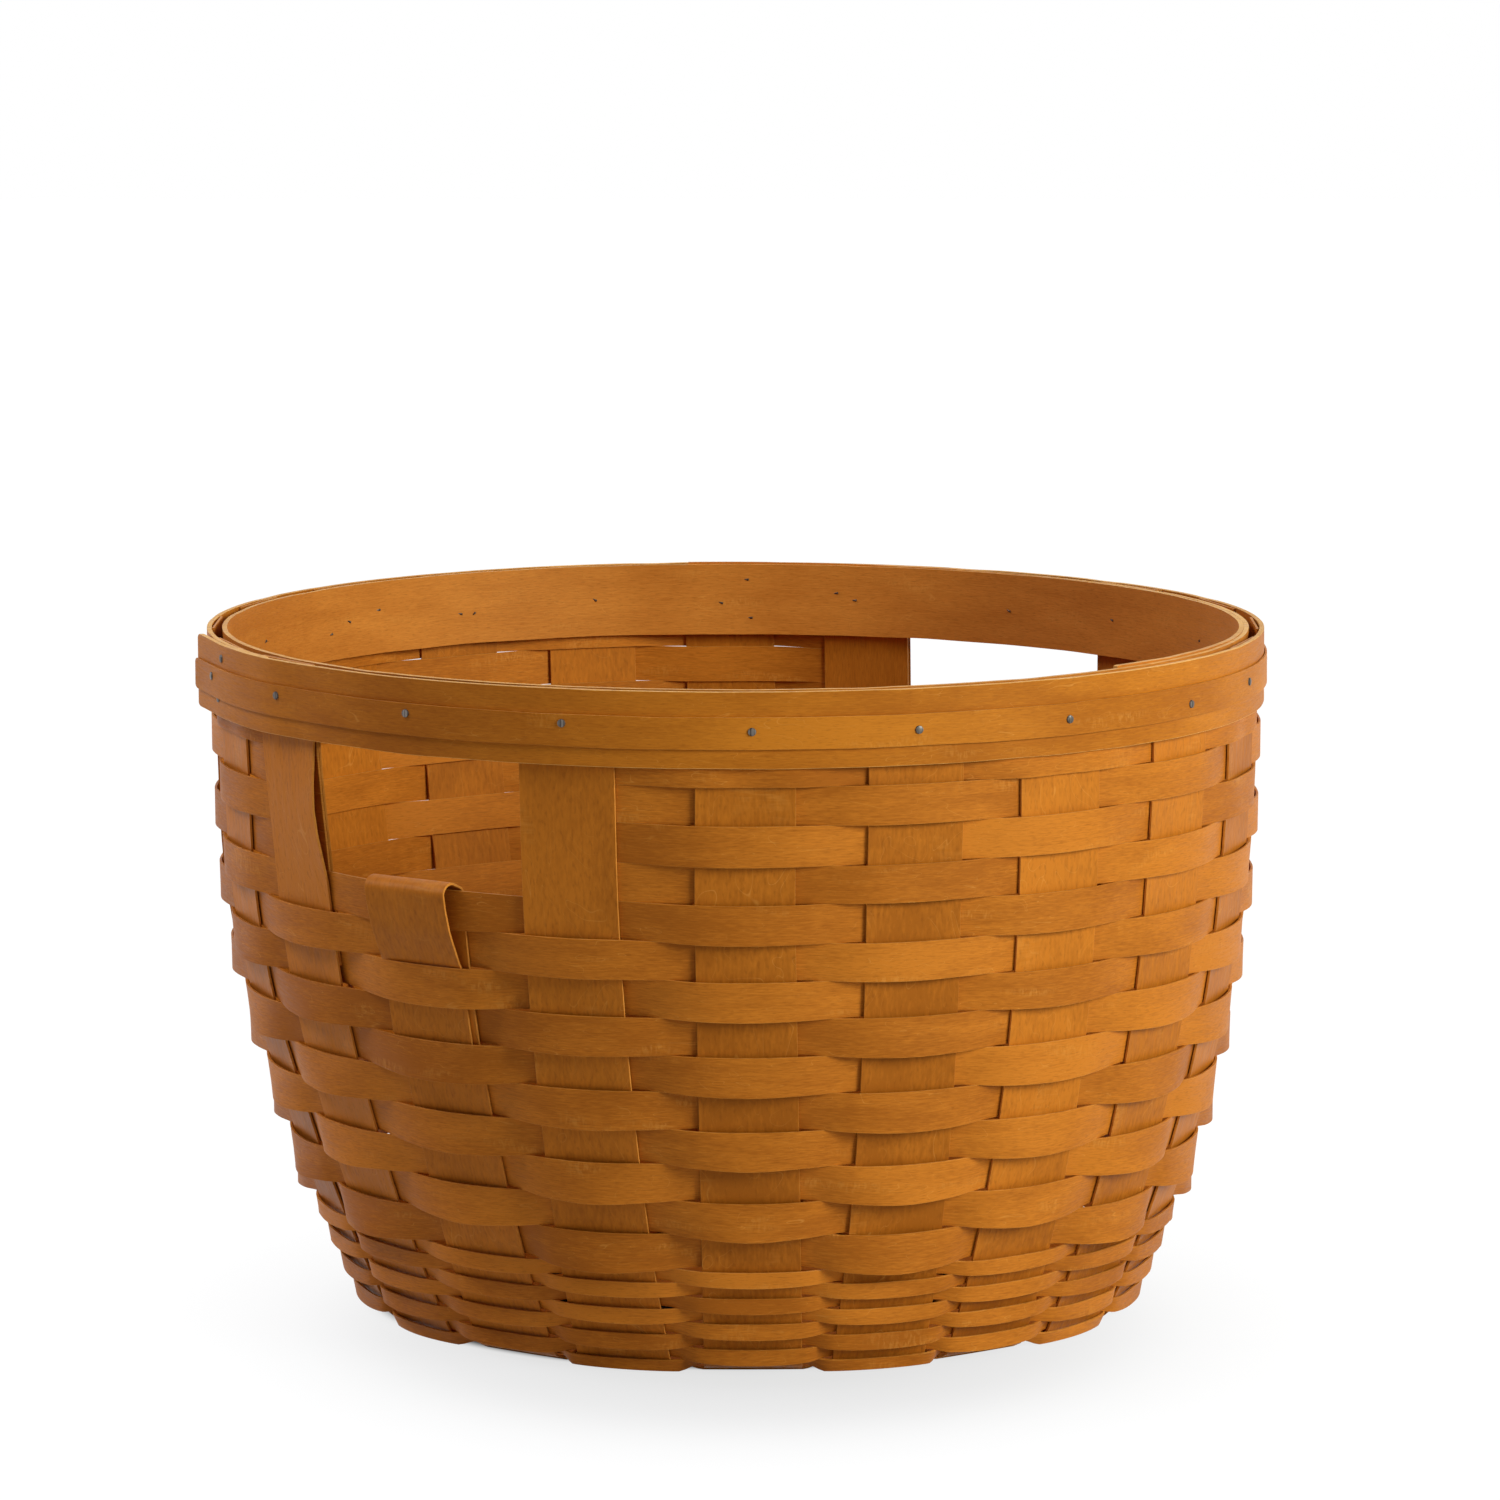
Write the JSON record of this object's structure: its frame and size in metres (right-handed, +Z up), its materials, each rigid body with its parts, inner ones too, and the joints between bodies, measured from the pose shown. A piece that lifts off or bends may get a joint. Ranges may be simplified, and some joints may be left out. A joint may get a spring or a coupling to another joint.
{
  "type": "corn basket",
  "caption": "Round splint basket woven from flat wooden strips, narrower at its base, with a nailed rim and opposite hand holes.",
  "frame": {"origin": "middle of the basket's bounding box on the floor that it stands on", "axes": "+Z up; -Y towards the viewer of the picture; +X to the viewer's right"},
  "size_m": [0.4429, 0.4425, 0.2822],
  "materials": {
    "stake_wood": "satin, warm brown stain, grain along the strip",
    "weaver_wood": "satin, honey stain, grain along the strip",
    "band_wood": "satin, honey brown stain, grain along the strip",
    "nail_steel": "dull blue-grey nail heads"
  },
  "bodies": {
    "root": {"base_row_01": "weaver_wood", "base_row_02": "weaver_wood", "base_row_03": "weaver_wood", "base_row_04": "weaver_wood", "base_row_05": "weaver_wood", "base_row_06": "weaver_wood", "hole_lining_07": "stake_wood", "hole_lining_09": "stake_wood", "hole_lining_17": "stake_wood", "hole_lining_19": "stake_wood", "inner_band": "band_wood", "narrow_row_01": "weaver_wood", "narrow_row_02": "weaver_wood", "narrow_row_03": "weaver_wood", "narrow_row_04": "weaver_wood", "narrow_row_05": "weaver_wood", "narrow_row_06": "weaver_wood", "narrow_row_07": "weaver_wood", "narrow_row_08": "weaver_wood", "outer_band": "band_wood", "splint_01": "stake_wood", "splint_02": "stake_wood", "splint_03": "stake_wood", "splint_04": "stake_wood", "splint_05": "stake_wood", "splint_06": "stake_wood", "splint_07": "stake_wood", "splint_08": "stake_wood", "splint_09": "stake_wood", "splint_10": "stake_wood", "trim_band": "band_wood", "wide_row_01_left": "weaver_wood", "wide_row_01_right": "weaver_wood", "wide_row_02_left": "weaver_wood", "wide_row_02_right": "weaver_wood", "wide_row_03_left": "weaver_wood", "wide_row_03_right": "weaver_wood", "wide_row_04_left": "weaver_wood", "wide_row_04_right": "weaver_wood", "wide_row_05": "weaver_wood", "wide_row_06": "weaver_wood", "wide_row_07": "weaver_wood", "wide_row_08": "weaver_wood", "wide_row_09": "weaver_wood", "wide_row_10": "weaver_wood", "wide_row_11": "weaver_wood", "wide_row_12": "weaver_wood", "wide_row_13": "weaver_wood", "wide_row_14": "weaver_wood"}
  },
  "joints": []
}
